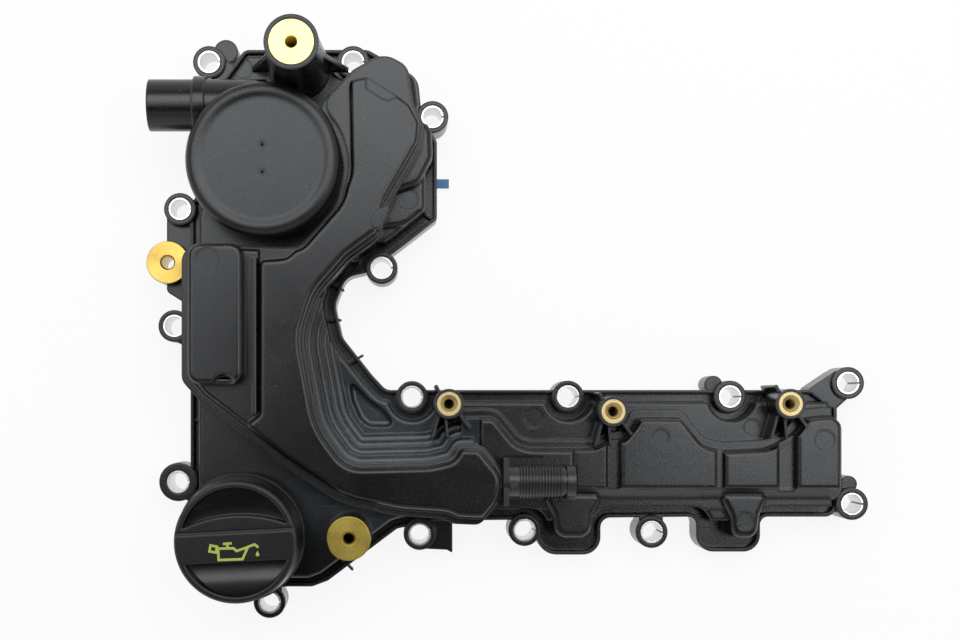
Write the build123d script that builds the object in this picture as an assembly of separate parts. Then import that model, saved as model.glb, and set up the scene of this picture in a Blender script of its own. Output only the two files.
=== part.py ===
from build123d import *
import math
import os

# Plastic engine valve cover, L-shaped in plan, lying on its gasket.
# Millimetres. X runs along the long arm, Y along the short arm, Z up from the sealing face.
# The origin is the axis of the bolt sleeve at the inside corner of the L, on the sealing face.

# Clearances
fit_gap = 0.3
slip_gap = 0.5
overlap = 1.0

# Edges of the flange in plan
left_edge = -111.0
inner_edge = 12.5
back_edge = 174.0
far_end = 213.0
upper_edge = 3.5
lower_edge = -60.0

# Main moulding: flange, gutter and roofs
wall = 2.5
lip_height = 18.0
lip_width = 1.6
gutter_floor = 13.0
gutter_width = 4.4
roof_height = 26.0
arm_roof_height = 32.0
roof_edge_radius = 1.5
bolt_keepout = 6.0
boss_height = 20.0
boss_radius = 8.0
web_width = 12.0
ear_height = 14.0
shoulder_height = 35.0
shoulder_edge_radius = 2.5
crest_height = 40.5
crest_edge_radius = 3.5
gutter_rib_width = 1.2
gutter_rib_height = 17.0
mark_depth = 0.25

# Split steel sleeves that take the clamping load of the bolts
sleeve_radius = 5.6
sleeve_bore = 4.7
sleeve_slit = 0.8
sleeve_proud = 0.4

# Gasket and its groove
groove_inset = 2.2
groove_width = 3.2
groove_depth = 9.0
gasket_proud = 1.0
tab_length = 6.5
tab_width = 4.5
tab_thickness = 2.0
tab_y = 109.3
tab_slot_depth = 8.0

# Steps that lead from the roof up to the trough round the inside corner: margin and height
corner_steps = [(14.0, 28.5), (11.0, 31.5), (7.5, 35.5), (3.5, 40.0)]
corner_step_radius = 2.2
bowl_height = 21.5
bowl_edge_radius = 2.5

# Rocker bulge on the long arm
shelf_height = 29.5
shelf_margin = 4.0
bulge_height = 36.0
bulge_slope_width = 6.5
bulge_slope_drop = 8.0
pad_inset = 0.5
pad_edge_radius = 2.0
lobe_start = lower_edge - 1.5
lobe_height = 16.0
tongue_height = 33.5
tongue_edge_radius = 3.0
recess_depth = 2.0
recess_span = (-47.0, -10.0)

# Separator trough and the lid welded on it
trough_top = 46.0
trough_floor = 34.0
trough_margin = 0.5
weld_flange_margin = 1.0
weld_flange_shift = 1.8
weld_flange_thickness = 3.5
lid_base = 4.0
lid_step = 1.5
lid_wall = 2.2
lid_box_side_top = 53.0
lid_duct_top = 57.0
lid_box_top = 64.0
lid_edge_radius = 2.2
side_end = -73.2
rib_x = -76.2
rib_start, rib_end = -8.0, 66.0
rib_width = 2.0
rib_rise = 1.0
side_edge_radius = 1.5
lid_pocket_depth = 1.0
thumb_x, thumb_y = -88.7, 4.8
thumb_radius, thumb_depth = 6.5, 4.3
box_mark, box_mark_radius = (-96.6, 64.8), 5.6
impactor_x = -72.0
impactor_thickness = 2.0
nozzle_count = 8
nozzle_first_y = -8.0
nozzle_hole_radius = 2.5
nozzle_pitch = 9.0
fleece_thickness = 4.0
drain_x, drain_y = -95.0, 24.0
drain_stem_radius = 2.0
drain_head_radius = 3.2
drain_umbrella_radius = 7.0
drain_disc_thickness = 1.2
drain_tip = 3.0

# Crankcase pressure regulator: pot, diaphragm, plunger, spring and cap
pot_x, pot_y = -70.9, 112.6
pot_radius = 33.5
pot_bore = 30.5
pot_rim = 55.0
pot_floor = 30.0
valve_seat_radius = 9.0
valve_seat_bore = 7.0
valve_seat_top = 43.0
plunger_radius = 18.0
plunger_thickness = 2.2
plunger_lift = 4.0
diaphragm_thickness = 1.0
roll_height = 2.0
roll_width = 3.0
roll_margin = 1.0
spring_wire = 1.2
spring_radius = 12.0
spring_turns = 5.0
spring_gap = 0.05
cap_radius = 36.6
cap_top = 63.0
cap_wall = 2.4
cap_skirt_bottom = 52.7
cap_bevel = 3.2
cap_edge = 1.1
cap_dish_radius = 31.4
cap_dish_depth = 0.7
cap_dish_slope = 2.2
vent_radius = 0.6
vent_spacing = 13.0
duct_width = 13.0
duct_height = 8.0
riser_x = -21.0

# Breather outlet
outlet_y, outlet_z = 141.8, 39.8
outlet_radius = 12.5
outlet_bore = 9.6
outlet_end = -127.6
outlet_ring_start, outlet_ring_end = -105.7, -99.9
outlet_ring_radius = 14.0

# Filler neck and cap
neck_x, neck_y = -82.8, -67.9
neck_radius = 24.0
neck_bore = 20.6
neck_top = 52.0
ledge_thickness = 4.0
ledge_bore = 18.4
lug_angle = 36.0
lug_thickness = 3.0
lug_play = 8.0
seal_width = 3.5
seal_thickness = 2.2
filler_skirt_radius = 31.0
filler_skirt_bottom = 42.0
filler_skirt_height = 4.0
filler_top_radius = 28.7
filler_top = 70.0
filler_top_chamfer = 1.0
filler_skirt_ledge = 0.8
filler_wall = 2.4
grip_angle = 3.0
grip_back, grip_front = 5.8, 9.1
grip_bow = 6.5
grip_scoop_depth = 9.0
grip_ramp_shift = 2.0
grip_ramp_rise = 1.8
grip_rim = 3.0
grip_groove_y = 5.2
grip_groove_radius = 0.9

# Posts and threaded brass inserts
post_x, post_y, post_top = -55.3, back_edge - 12.7, 88.0
post_radius = 12.6
post_root_radius = 15.0
post_straight = 8.0
gusset_reach = 9.0
gusset_drop = 20.0
pillar_x, pillar_y, pillar_top = -30.4, -67.5, 55.0
bush_x, bush_y, bush_top = left_edge - 10.9, 67.1, 22.0
big_insert_radius = 10.6
big_insert_head = 3.0
big_insert_shank = 7.5
big_insert_length = 22.0
big_insert_bore = 2.5
bush_bore = 3.15
small_insert_radius = 6.0
small_insert_bore = 2.35
small_insert_length = 14.0
small_boss_radius = 7.3
small_boss_top = 46.0
tower_rib_width = 1.2
tower_rib_height = 40.0
hook_offsets = (-4.0, 4.5, -6.0, 8.5)
hook_width = 1.6
hook_rise = 2.0

# Ribbed drain tube at the end of the trough
tube_y, tube_z = -40.8, 45.8
tube_start, tube_end = 43.6, 78.4
tube_radius = 7.2
tube_bore = 5.6
tube_ring_radius = 7.8
tube_ring_pitch = 1.5
tube_ring_count = 14
tube_ring_foot, tube_ring_top = 1.2, 0.6
tube_groove_depth, tube_groove_width = 0.8, 1.2
tube_rings_start = 51.5
tube_collar_length = 4.0
tube_pocket_length, tube_pocket_rise = 20.0, 10.0
flange_thickness = 2.6
flange_reach = 11.5
flange_notch_y = -41.8
flange_notch_width, flange_notch_depth = 3.4, 1.6
clip_x, clip_radius, clip_top = 48.4, 1.9, 54.6
port_z = 42.6
port_radius, port_length = 2.3, 12.0

# Bolt centre, then the point of the flange that its boss is webbed to
bolts = {
    "bolt_sleeve_01": (-101.5, back_edge - 6.5, -88.0, back_edge - 16),
    "bolt_sleeve_02": (-29.5, back_edge - 6.5, -29.5, back_edge - 14),
    "bolt_sleeve_03": (inner_edge - 2.3, 140.0, inner_edge - 10.5, 133.0),
    "bolt_sleeve_04": (left_edge - 5, 94.0, left_edge + 7, 90.0),
    "bolt_sleeve_05": (-15.2, 64.5, -18.0, 76.0),
    "bolt_sleeve_06": (left_edge - 7.8, 35.5, left_edge + 7, 26.0),
    "bolt_sleeve_07": (left_edge - 5.8, -42.5, left_edge + 7, -50.0),
    "bolt_sleeve_08": (-71.2, -102.5, -71.2, -90.0),
    "bolt_sleeve_09": (0.0, 0.0, 0.0, upper_edge - 6.5),
    "bolt_sleeve_10": (78.0, upper_edge - 3.3, 78.0, upper_edge - 6.5),
    "bolt_sleeve_11": (159.0, upper_edge - 3.3, 159.0, upper_edge - 6.5),
    "bolt_sleeve_12": (far_end + 5, upper_edge + 3.5, far_end - 6, upper_edge - 6.5),
    "bolt_sleeve_13": (3.8, lower_edge - 8.5, 3.0, lower_edge),
    "bolt_sleeve_14": (56.2, lower_edge - 6.5, 56.2, lower_edge + 2),
    "bolt_sleeve_15": (119.8, lower_edge - 7.5, 119.8, lower_edge + 2),
    "bolt_sleeve_16": (far_end + 7, lower_edge + 6.5, far_end - 6, lower_edge + 10),
}
small_inserts = {
    "small_insert_1": (17.7, upper_edge - 6.9),
    "small_insert_2": (97.1, upper_edge - 10.5),
    "small_insert_3": (182.7, upper_edge - 6.9),
}

# Outlines, clockwise, as x, y and corner radius
skirt_corners = [
    (-103, 148, 4), (-84, back_edge, 5), (-22, back_edge, 6), (3, 160, 10), (5, 140, 3),
    (inner_edge, 128, 3), (inner_edge, 89, 2), (-4, 76, 4), (-22, 62.5, 6), (-33, 60, 8),
    (-38.5, 46, 10), (-35, 30, 8), (-20, 11, 10), (-13, upper_edge, 6), (far_end, upper_edge, 3),
    (far_end, lower_edge, 6), (174.5, lower_edge, 4), (174.5, lower_edge - 17.5, 14),
    (142.5, lower_edge - 17.5, 16), (142.5, lower_edge, 4), (94.5, lower_edge - 0.5, 5),
    (94.5, lower_edge - 19, 12), (66, lower_edge - 19, 10), (58, lower_edge - 1.5, 3),
    (10, lower_edge - 2, 2), (-7.5, lower_edge - 6, 4), (-42, -92, 8), (-50, -95, 4), (-62, -95, 3),
    (-100, -98, 12), (left_edge, -85, 12), (left_edge, 95, 5), (-105, 108, 6),
]
arm_corners = [
    (left_edge - 14, back_edge + 11, 5), (20, back_edge + 11, 5), (20, 84, 5), (-30, 68, 15),
    (-49, 45, 20), (-50, 10, 25), (-42, -25, 20), (-20, -38, 10), (20, -40, 5), (20, -75, 5),
    (-30, -110, 5), (left_edge - 14, -110, 5),
]
# Where the steps of the inside corner run
inner_corner = [
    (-60, 48, 3), (-22, 48, 3), (-22, 30, 10), (-8, 12, 10), (30, 12, 3), (30, -28, 3), (-10, -45, 3),
    (-60, -20, 3),
]
# Smooth bowl in the roof, inside the steps
bowl_corners = [
    (-32, 10.5, 3), (-21.4, -0.7, 6), (-13.6, -6.4, 5), (-7.5, -14.8, 3), (-21.5, -14.8, 6),
    (-26, -11, 8), (-30, -2, 10),
]
lid_corners = [
    (-28, 157, 8), (-14, 165, 11), (-3, 159, 8), (0, 140, 12), (5, 131, 8), (4, 121, 14),
    (-12, 93, 3), (-16.5, 77.5, 4), (-31, 67, 20), (-46, 50, 25), (-53, 29, 30), (-45, -14, 40),
    (-31, -33, 14), (8, -32, 30), (19, -29.5, 6), (22.5, -23.5, 3), (32.5, -23.5, 8), (44.5, -38, 12),
    (41.5, -50, 14), (34, -59, 5), (22, -58.5, 5), (16, -56, 10), (-6, -54.5, 60), (-32, -49, 40),
    (-61, -30, 40), (-100, 0.5, 10), (left_edge + 2.5, 10, 6), (left_edge + 2.5, 73.5, 6), (-54, 71, 8),
    (-34.5, 93, 20), (-30, 112, 30), (-34, 128, 30), (-44, 141, 8),
]
duct_corners = [
    (-30, 151, 3), (-22, 152.5, 3), (-8, 144, 8), (8, 133, 3), (60, 100, 3), (60, -80, 3),
    (-60, -80, 3), (-79, -13, 3), (-73, -8.5, 3), (-73, 65, 3), (-60, 66, 6), (-50, 75, 6),
    (-29, 103, 20),
]
# Shallow pocket and raised tab on the lid
lid_pocket_corners = [
    (-22.2, 153, 1), (-22.2, 146.7, 1), (-15, 141.8, 1), (-11.6, 140.6, 0.8), (-7.2, 142.6, 0.8),
    (-9, 147, 2),
]
lid_tab_corners = [
    (-10.8, 90.6, 1), (-17.2, 89.2, 2), (-19.8, 84, 2), (-18.2, 79.2, 1), (-14.8, 80.4, 1),
]
box_corners = [(left_edge + 5, 6, 6), (left_edge + 5, 72.3, 6), (-80.2, 72.3, 6), (-80.2, 6, 6)]
bulge_corners = [
    (24, -10.3, 3), (40, -10, 6), (51, -23.5, 14), (58, -25.4, 12), (90, -25.4, 14), (97, -21, 5),
    (103.5, -21, 4), (109, -14, 4), (111, -10.3, 2), (131.5, -10.3, 3), (142, -24, 12), (153, -26.4, 8),
    (175, -25.4, 20), (188, -18, 12), (193, -10.3, 5), (far_end - 8, -9, 4), (far_end - 3, -13, 6),
    (far_end - 3, lower_edge + 10, 5), (far_end - 8, lower_edge + 8.5, 4), (24, lower_edge + 8.5, 3),
]
# Raised pads on the bulge: from x, to x, top
bulge_pads = [
    (33.0, 79.4, 38.0), (79.4, 95.5, 37.2), (101.0, 148.5, 41.0), (152.0, 179.4, 38.5),
    (187.4, far_end - 4, 40.0),
]
ear_corners = [
    (left_edge + 5, 100, 2), (left_edge - 12.5, 98, 5), (left_edge - 12.5, 53, 3), (left_edge - 3, 47, 3),
    (left_edge + 5, 47, 1),
]
bracket_corners = [
    (4, lower_edge - 1, 1), (20.4, lower_edge - 1, 1), (20.4, lower_edge - 18.6, 0.5),
    (17.6, lower_edge - 17, 1), (5, lower_edge - 16.4, 1),
]
# Low lobes beside some bosses: offset in x and y, and radius
lobes = {
    "bolt_sleeve_01": (8.0, 6.0, 6.0),
    "bolt_sleeve_11": (-7.5, 6.0, 4.5),
    "bolt_sleeve_16": (-0.5, 9.7, 4.2),
}
wide_bosses = {"bolt_sleeve_07": 9.6}
far_web_corners = [
    (far_end - 15, upper_edge, 2), (far_end + 1.5, upper_edge + 11, 3), (far_end + 8, upper_edge, 2),
    (far_end - 2, upper_edge - 10, 2),
]
# Higher roofs round the upper right of the short arm, the crest on top of the shoulder
shoulder_corners = [
    (-18, 152, 4), (-2, 161, 5), (2.4, 156, 5), (1.0, 148, 4), (1.5, 134, 4), (6.6, 126, 5),
    (6.6, 91, 8), (-4, 84, 10), (-17, 82, 6), (-26, 90, 4), (-10, 112, 4),
]
crest_corners = [
    (-18, 150, 4), (-3, 160, 4), (1.6, 155, 5), (3, 144, 5), (9.5, 130, 8), (10, 117, 8), (3, 103, 10),
    (-8, 99, 5), (-16, 100, 3), (-12, 120, 5),
]
# Noses of the bulge that run down into the two lobes of the lower edge
tongues = [
    [(63, -47, 3), (95, -47, 3), (89, -58, 8), (87.4, -69.3, 6), (70.7, -69.3, 6), (69, -58, 8)],
    [(150, -47, 3), (176, -47, 3), (171, -58, 8), (169.4, -69.3, 5), (157.6, -69.3, 5), (156, -58, 8)],
]
lobe_spans = [(52, 98), (138, 180)]
# Thin ribs across the gutter, from point to point
gutter_ribs = [
    (-40.6, 57.4, -34.6, 53.6), (-42.6, 38.6, -36.0, 38.6), (-32.6, 16.2, -24.9, 20.8),
    (left_edge + 0.8, -11.5, left_edge + 7, -11.5), (-35.0, -81.4, -30.0, -86.6), (4.5, 93.4, 11.0, 88.6),
]
# Ribs of the insert towers, as offsets from the insert's centre
tower_ribs = [(-4.5, -5.0, -7.8, -16.6), (-1.5, -6.0, -0.5, -16.0), (4.5, -4.5, 10.0, -11.7)]
# Round marks of the ejector pins: centre, radius and the face they are in
ejector_marks = [
    (-83.2, 161.3, 4.7, arm_roof_height), (-2.0, 96.9, 4.9, shoulder_height),
    (60.5, -10.4, 5.0, roof_height), (120.9, -19.5, 3.9, bulge_pads[2][2]),
    (168.6, -14.9, 4.0, roof_height), (200.8, -21.0, 4.9, bulge_pads[4][2]),
    (163.5, -60.4, 3.9, tongue_height),
]


def rounded(corners):
    starts = []
    middles = []
    ends = []
    for i, (x, y, radius) in enumerate(corners):
        here = Vector(x, y)
        back = Vector(*corners[i - 1][:2]) - here
        ahead = Vector(*corners[(i + 1) % len(corners)][:2]) - here
        half_turn = math.radians(180 - back.get_angle(ahead)) / 2
        cut = min(radius * math.tan(half_turn), 0.48 * back.length, 0.48 * ahead.length)
        radius = cut / math.tan(half_turn)
        inward = (back.normalized() + ahead.normalized()).normalized()
        starts.append(here + back.normalized() * cut)
        middles.append(here + inward * (radius / math.cos(half_turn) - radius))
        ends.append(here + ahead.normalized() * cut)
    edges = []
    for i in range(len(corners)):
        edges.append(ThreePointArc(starts[i], middles[i], ends[i]).edge())
        edges.append(Line(ends[i], starts[(i + 1) % len(corners)]).edge())
    return make_face(Wire(edges))


def disc(x, y, radius):
    return Pos(x, y) * Circle(radius)


def prism(face, low, high):
    return extrude(Pos(0, 0, low) * face, amount=high - low, dir=(0, 0, 1))


def block(low, high):
    size = [b - a for a, b in zip(low, high)]
    return Pos(*low) * Box(*size, align=(Align.MIN, Align.MIN, Align.MIN))


def turned(points, x=0, y=0):
    return Pos(x, y) * revolve(make_face(Plane.XZ * Polyline(*points, close=True)), Axis.Z)


def edges_at(solid, height):
    flat = solid.edges().filter_by_position(Axis.Z, height - 0.01, height + 0.01)
    return flat.filter_by(lambda edge: edge.bounding_box().size.Z < 0.01)


def soft_top(face, low, high, radius):
    solid = prism(face, low, high)
    return fillet(edges_at(solid, high), radius)


def slot_between(x1, y1, x2, y2, width):
    length = math.hypot(x2 - x1, y2 - y1)
    angle = math.degrees(math.atan2(y2 - y1, x2 - x1))
    return Pos((x1 + x2) / 2, (y1 + y2) / 2) * Rot(0, 0, angle) * SlotCenterToCenter(length, width)


# The flange outline drawn in by an inset that also keeps its distance from every bolt
def inside(inset):
    face = offset(rounded(skirt_corners), amount=-inset, kind=Kind.ARC)
    for x, y, *_ in bolts.values():
        face -= disc(x, y, bolt_keepout + inset)
    return face


def lid_outline(margin):
    return offset(rounded(lid_corners), amount=margin, kind=Kind.ARC)


def bulge_block(inset, low, high):
    solid = prism(offset(rounded(bulge_corners), amount=-inset, kind=Kind.ARC), low, high)
    edge_y = min(y for _, y, _ in bulge_corners)
    slope = Polyline(
        (edge_y - 1, bulge_height - bulge_slope_drop - inset - bulge_slope_drop / bulge_slope_width),
        (edge_y + bulge_slope_width + inset, bulge_height),
        (edge_y - 1, bulge_height),
        close=True,
    )
    start = min(x for x, _, _ in bulge_corners) - 1
    length = max(x for x, _, _ in bulge_corners) - start + 1
    return solid - extrude(Pos(start, 0, 0) * (Plane.YZ * make_face(slope)), amount=length, dir=(1, 0, 0))


def bulge_pad(start, end, top):
    edge_y = min(y for _, y, _ in bulge_corners) + bulge_slope_width
    band = Pos((start + end) / 2, edge_y / 2) * Rectangle(end - start, -edge_y)
    face = offset(rounded(bulge_corners), amount=-pad_inset, kind=Kind.ARC) & band
    return soft_top(face, bulge_height - overlap, top, min(pad_edge_radius, top - bulge_height))


# Trough flange, wider on the outer side of the L
def weld_flange():
    around = lid_outline(weld_flange_margin)
    shifted = Pos(-weld_flange_shift, -weld_flange_shift) * lid_outline(weld_flange_margin)
    low = trough_top - weld_flange_thickness
    return prism(around, low, trough_top) + prism(shifted, low, trough_top)


def corner_step(margin, height, roof):
    step = soft_top(lid_outline(margin), gutter_floor, height, corner_step_radius)
    return step & prism(rounded(inner_corner) & roof, gutter_floor, height)


def outlet_rod(radius, start=outlet_end, end=pot_x):
    rod = Cylinder(radius, end - start, align=(Align.CENTER, Align.CENTER, Align.MIN))
    return Pos(start, outlet_y, outlet_z) * Rot(0, 90, 0) * rod


def main_housing():
    lobe_floors = [lobe_floor(*span) for span in lobe_spans]
    roof = inside(lip_width + gutter_width) - lobe_floors
    hollow = inside(lip_width + gutter_width + wall)
    low_hollow = hollow & (Sketch() + lobe_floors)
    hollow -= [offset(face, amount=wall) for face in lobe_floors]
    arm = rounded(arm_corners)
    shoulder = rounded(shoulder_corners) & roof
    under_shoulder = offset(shoulder, amount=-wall) & hollow
    crest = rounded(crest_corners) & inside(lip_width)
    under_crest = (offset(crest, amount=-wall) & hollow) - lid_outline(trough_margin)
    shelf = offset(rounded(bulge_corners), amount=shelf_margin, kind=Kind.ARC) & roof
    pot = disc(pot_x, pot_y, pot_radius)
    webs = [prism(slot_between(*ends, web_width), 0, lip_height) for ends in bolts.values()]
    body = prism(rounded(skirt_corners), 0, lip_height) + webs
    body -= prism(inside(lip_width) - roof, gutter_floor, lip_height)
    body += [
        soft_top(roof, gutter_floor, roof_height, roof_edge_radius),
        soft_top(roof & arm, gutter_floor, arm_roof_height, roof_edge_radius),
        soft_top(shoulder, gutter_floor, shoulder_height, shoulder_edge_radius),
        soft_top(crest, gutter_floor, crest_height, crest_edge_radius),
        prism(shelf, gutter_floor, shelf_height),
        bulge_block(0, gutter_floor - overlap, bulge_height) - recess_between_pads(),
        prism(lid_outline(trough_margin), gutter_floor, trough_top),
        weld_flange(),
        *[corner_step(margin, height, roof) for margin, height in corner_steps],
        prism(pot, gutter_floor, pot_rim),
        outlet_rod(outlet_radius),
        outlet_rod(outlet_ring_radius, outlet_ring_start, outlet_ring_end),
        block((outlet_ring_end - overlap, outlet_y - outlet_radius, gutter_floor),
              (pot_x, outlet_y + outlet_radius, outlet_z)),
        prism(disc(neck_x, neck_y, neck_radius), gutter_floor, neck_top),
        prism(rounded(ear_corners), 0, ear_height),
        prism(rounded(bracket_corners), 0, ear_height),
        prism(rounded(far_web_corners), 0, lip_height),
        *[soft_top(rounded(tongue), gutter_floor, tongue_height, tongue_edge_radius) for tongue in tongues],
        *[prism(slot_between(*rib, gutter_rib_width), gutter_floor - overlap, gutter_rib_height)
          for rib in gutter_ribs],
        *[tower_rib(x + dx1, y + dy1, x + dx2, y + dy2) for x, y in small_inserts.values()
          for dx1, dy1, dx2, dy2 in tower_ribs],
        *[tower_hook(x, y) for x, y in small_inserts.values()],
        *post(),
        prism(disc(pillar_x, pillar_y, big_insert_radius), 0, pillar_top - big_insert_head),
        prism(disc(bush_x, bush_y, big_insert_radius), 0, bush_top - big_insert_head),
        *[bulge_pad(*pad) for pad in bulge_pads],
        *[prism(disc(*place, small_boss_radius), gutter_floor, small_boss_top - fit_gap)
          for place in small_inserts.values()],
        *[prism(disc(*bolts[name][:2], wide_bosses.get(name, boss_radius)), 0, boss_height)
          for name in bolts],
        *[prism(disc(bolts[name][0] + dx, bolts[name][1] + dy, radius), 0, lobe_height)
          for name, (dx, dy, radius) in lobes.items()],
    ]
    trough = prism(lid_outline(trough_margin), trough_floor - wall, trough_floor)
    bowl = rounded(bowl_corners)
    bowl_space = prism(bowl, bowl_height, roof_height + overlap)
    body -= [
        prism(hollow, -1, roof_height - wall),
        prism(low_hollow, -1, gutter_floor - wall),
        prism(under_shoulder, -1, trough_floor - wall),
        prism(under_shoulder - lid_outline(trough_margin), -1, shoulder_height - wall),
        prism(under_crest, -1, crest_height - wall),
        *[prism(offset(rounded(tongue), amount=-wall), -1, tongue_height - wall) for tongue in tongues],
        *[prism(lid_outline(margin - wall) & offset(rounded(inner_corner), amount=-wall) & hollow, -1,
                min(height, trough_floor) - wall) for margin, height in corner_steps],
        prism(hollow & offset(arm, amount=-wall, kind=Kind.ARC), -1, arm_roof_height - wall),
        bulge_block(wall, gutter_floor, bulge_height - wall) - trough,
        prism(lid_outline(-wall) & hollow, -1, trough_floor - wall),
        prism(inside(groove_inset) - inside(groove_inset + groove_width), -1, groove_depth),
        prism(lid_outline(-wall), trough_floor, trough_top),
        prism(disc(pot_x, pot_y, pot_bore), arm_roof_height - wall, pot_rim),
    ]
    body += [
        prism(offset(bowl, amount=wall, kind=Kind.ARC), bowl_height - wall, roof_height - overlap),
        prism(pot, pot_floor - wall, pot_floor),
        prism(disc(pot_x, pot_y, valve_seat_radius), pot_floor - wall, valve_seat_top),
        regulator_duct(),
    ]
    return body - [
        fillet(edges_at(bowl_space, bowl_height), bowl_edge_radius),
        *regulator_passage(),
        outlet_rod(outlet_bore),
        prism(disc(neck_x, neck_y, neck_bore), -1, neck_top - ledge_thickness),
        prism(disc(neck_x, neck_y, ledge_bore), 0, neck_top),
        prism(lug_slots(), 0, neck_top),
        prism(disc(drain_x, drain_y, drain_stem_radius), 0, trough_top),
        *[prism(disc(x, y, radius), top - mark_depth, top + overlap)
          for x, y, radius, top in ejector_marks],
        *insert_holes(),
        *[prism(disc(x, y, sleeve_radius), -1, boss_height) for x, y, _, _ in bolts.values()],
        block((inner_edge - tab_slot_depth, tab_y - tab_width / 2 - fit_gap, -overlap),
              (inner_edge + overlap, tab_y + tab_width / 2 + fit_gap, tab_thickness + fit_gap)),
        tube_pocket(),
        Pos(tube_start, tube_y, port_z) * Rot(0, 90, 0) * Cylinder(port_radius, port_length),
    ]


# Room in the moulding for the drain tube and its flange
def tube_pocket():
    side = flange_reach + fit_gap
    low = tube_z - tube_ring_radius - fit_gap
    return block((tube_start, tube_y - side, low),
                 (tube_start + tube_pocket_length, tube_y + side, tube_z + tube_pocket_rise))


# Part of a lobe of the lower edge where the floor stays as low as the gutter
def lobe_floor(start, end):
    depth = 2 * boss_radius + lip_width + gutter_width
    area = Rectangle(end - start, depth, align=(Align.CENTER, Align.MAX))
    return Pos((start + end) / 2, lobe_start) * area


def tower_rib(x1, y1, x2, y2):
    return prism(slot_between(x1, y1, x2, y2, tower_rib_width), gutter_floor, tower_rib_height)


def tower_hook(x, y):
    dx1, dy1, dx2, dy2 = hook_offsets
    face = slot_between(x + dx1, y + dy1, x + dx2, y + dy2, hook_width)
    return prism(face, gutter_floor, tower_rib_height + hook_rise)


def recess_between_pads():
    start = bulge_pads[3][1]
    end = bulge_pads[4][0]
    low, high = recess_span
    return block((start, low, bulge_height - recess_depth), (end, high, bulge_height + overlap))


# Channel under the regulator that brings cleaned gas up from the trough
def regulator_duct():
    side = duct_width / 2 + wall
    low = pot_floor - 2 * wall - duct_height
    return block((pot_x - side, pot_y - side, low), (riser_x + side, pot_y + side, pot_floor))


def regulator_passage():
    side = duct_width / 2
    low = pot_floor - wall - duct_height
    return [
        block((pot_x - side, pot_y - side, low), (riser_x + side, pot_y + side, pot_floor - wall)),
        block((riser_x - side, pot_y - side, low), (riser_x + side, pot_y + side, trough_top)),
        prism(disc(pot_x, pot_y, valve_seat_bore), low, valve_seat_top),
    ]


def post():
    cone = turned([(0, 0), (post_root_radius, 0), (post_root_radius, arm_roof_height),
                   (post_radius, post_top - post_straight), (post_radius, post_top), (0, post_top)],
                  post_x, post_y)
    low = arm_roof_height - wall
    high = post_top - gusset_drop
    root = post_root_radius + gusset_reach
    tip = post_radius - wall / 2
    side = make_face(Plane.XZ * Polyline((-root, low), (root, low), (tip, high), (-tip, high), close=True))
    return [cone, Pos(post_x, post_y + wall / 2) * extrude(side, amount=wall)]


def sector(radius, angle, width):
    start = math.radians(angle - width / 2)
    end = math.radians(angle + width / 2)
    points = [(radius * math.cos(t), radius * math.sin(t)) for t in (start, (start + end) / 2, end)]
    arc = ThreePointArc(*points)
    return make_face(Wire([Line((0, 0), points[0]).edge(), arc.edge(), Line(points[2], (0, 0)).edge()]))


def lug_slots():
    slots = [sector(neck_bore, angle, lug_angle + lug_play) for angle in (90, 270)]
    return Pos(neck_x, neck_y) * (slots[0] + slots[1])


def insert_holes():
    return [
        prism(disc(post_x, post_y, big_insert_radius), post_top - big_insert_length, post_top),
        prism(disc(pillar_x, pillar_y, big_insert_shank), pillar_top - big_insert_length, pillar_top),
        prism(disc(bush_x, bush_y, big_insert_shank), -1, bush_top),
        *[prism(disc(x, y, small_insert_radius), small_boss_top - small_insert_length, small_boss_top)
          for x, y in small_inserts.values()],
    ]


def bolt_sleeve(x, y):
    sleeve = prism(disc(x, y, sleeve_radius) - disc(x, y, sleeve_bore), 0, boss_height + sleeve_proud)
    side = sleeve_slit / 2
    slit = block((x, y - side, -overlap), (x + sleeve_radius + overlap, y + side, boss_height + overlap))
    return sleeve - slit


def gasket():
    ring = inside(groove_inset + fit_gap) - inside(groove_inset + groove_width - fit_gap)
    tab = block((inner_edge - groove_inset - fit_gap - 1, tab_y - tab_width / 2, 0),
                (inner_edge + tab_length, tab_y + tab_width / 2, tab_thickness))
    return prism(ring, -gasket_proud, groove_depth) + tab


def separator_cover():
    base = lid_outline(0)
    raised = lid_outline(-lid_step)
    duct = raised & rounded(duct_corners)
    box = rounded(box_corners)
    floor = trough_top
    left_of_duct = Rectangle(2 * back_edge, 2 * back_edge, align=(Align.MAX, Align.CENTER))
    side = raised & (Pos(side_end, 0) * left_of_duct)
    lid = prism(base, floor, floor + lid_base) + [
        soft_top(side, floor, lid_box_side_top, side_edge_radius),
        soft_top(duct, floor, lid_duct_top, lid_edge_radius),
        soft_top(box, floor, lid_box_top, lid_edge_radius),
        block((rib_x, rib_start, floor), (rib_x + rib_width, rib_end, lid_duct_top + rib_rise)),
        prism(rounded(lid_tab_corners), floor, lid_duct_top + mark_depth),
    ]
    hollows = [
        prism(offset(side, amount=-lid_wall, kind=Kind.ARC), floor, lid_box_side_top - lid_wall),
        prism(offset(duct, amount=-1.5 * lid_wall, kind=Kind.ARC), floor, lid_duct_top - lid_wall),
        prism(offset(box, amount=-lid_wall, kind=Kind.ARC), floor, lid_box_top - lid_wall),
    ]
    return lid - hollows - [
        prism(rounded(lid_pocket_corners), lid_duct_top - lid_pocket_depth, lid_duct_top + overlap),
        Pos(thumb_x, thumb_y, lid_box_top + thumb_radius - thumb_depth) * Sphere(thumb_radius),
        prism(disc(*box_mark, box_mark_radius), lid_box_top - mark_depth, lid_box_top + overlap),
    ]


def strip_across_trough(start, thickness):
    strip = Pos(start, 0) * Rectangle(thickness, 2 * back_edge, align=(Align.MIN, Align.CENTER))
    return prism(lid_outline(-wall - fit_gap) & strip, trough_floor, trough_top - fit_gap)


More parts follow.
